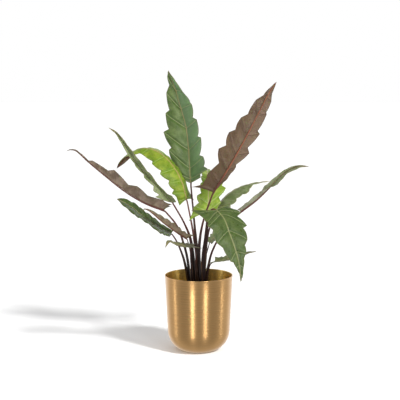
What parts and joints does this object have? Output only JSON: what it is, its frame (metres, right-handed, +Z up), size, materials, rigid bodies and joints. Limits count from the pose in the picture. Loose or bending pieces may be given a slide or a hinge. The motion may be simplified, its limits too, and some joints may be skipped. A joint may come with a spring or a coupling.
{
  "type": "potted alocasia plant",
  "caption": "Tufted alocasia with long scalloped arrow-shaped leaves, growing in a nursery pot that stands in a round gold metal cachepot.",
  "frame": {"origin": "centre of the cachepot's flat base, on the surface that it stands on", "axes": "+Z up along the pot's axis, +X to the right and -Y to the front as seen in the usual view"},
  "size_m": [0.5663, 0.2694, 0.655],
  "materials": {
    "brushed_gold": "brushed gold-tone metal",
    "nursery_plastic": "black moulded plastic",
    "potting_mix": "dark peat and bark potting mix",
    "rhizome_bark": "rough brown rhizome skin",
    "leaf_stalk": "smooth dark purple living stalk",
    "leaf_green": "semi-gloss living leaf, brown beneath",
    "leaf_bronze": "satin brown leaf underside",
    "leaf_lime": "satin young lime-green leaf",
    "leaf_grey_green": "satin grey-green leaf"
  },
  "bodies": {
    "cachepot": {"cachepot": "brushed_gold"},
    "plant": {"nursery_pot": "nursery_plastic", "potting_soil": "potting_mix", "rhizome_1": "rhizome_bark", "rhizome_2": "rhizome_bark", "rhizome_3": "rhizome_bark", "leaf_01_petiole": "leaf_stalk", "leaf_01_blade": "leaf_green", "leaf_02_petiole": "leaf_stalk", "leaf_02_blade": "leaf_bronze", "leaf_03_petiole": "leaf_stalk", "leaf_03_blade": "leaf_lime", "leaf_04_petiole": "leaf_stalk", "leaf_04_blade": "leaf_grey_green", "leaf_05_petiole": "leaf_stalk", "leaf_05_blade": "leaf_bronze", "leaf_06_petiole": "leaf_stalk", "leaf_06_blade": "leaf_green", "leaf_07_petiole": "leaf_stalk", "leaf_07_blade": "leaf_grey_green", "leaf_08_petiole": "leaf_stalk", "leaf_08_blade": "leaf_bronze", "leaf_09_petiole": "leaf_stalk", "leaf_09_blade": "leaf_green", "leaf_10_petiole": "leaf_stalk", "leaf_10_blade": "leaf_lime", "leaf_11_petiole": "leaf_stalk", "leaf_11_blade": "leaf_grey_green", "leaf_12_petiole": "leaf_stalk", "leaf_12_blade": "leaf_grey_green", "leaf_13_petiole": "leaf_stalk", "leaf_13_blade": "leaf_grey_green", "leaf_14_petiole": "leaf_stalk", "leaf_14_blade": "leaf_grey_green"}
  },
  "joints": [
    {"name": "lift_out", "type": "slide", "parent": "cachepot", "child": "plant", "axis": [0, 0, 1], "range_m": [0, 0.19]}
  ]
}
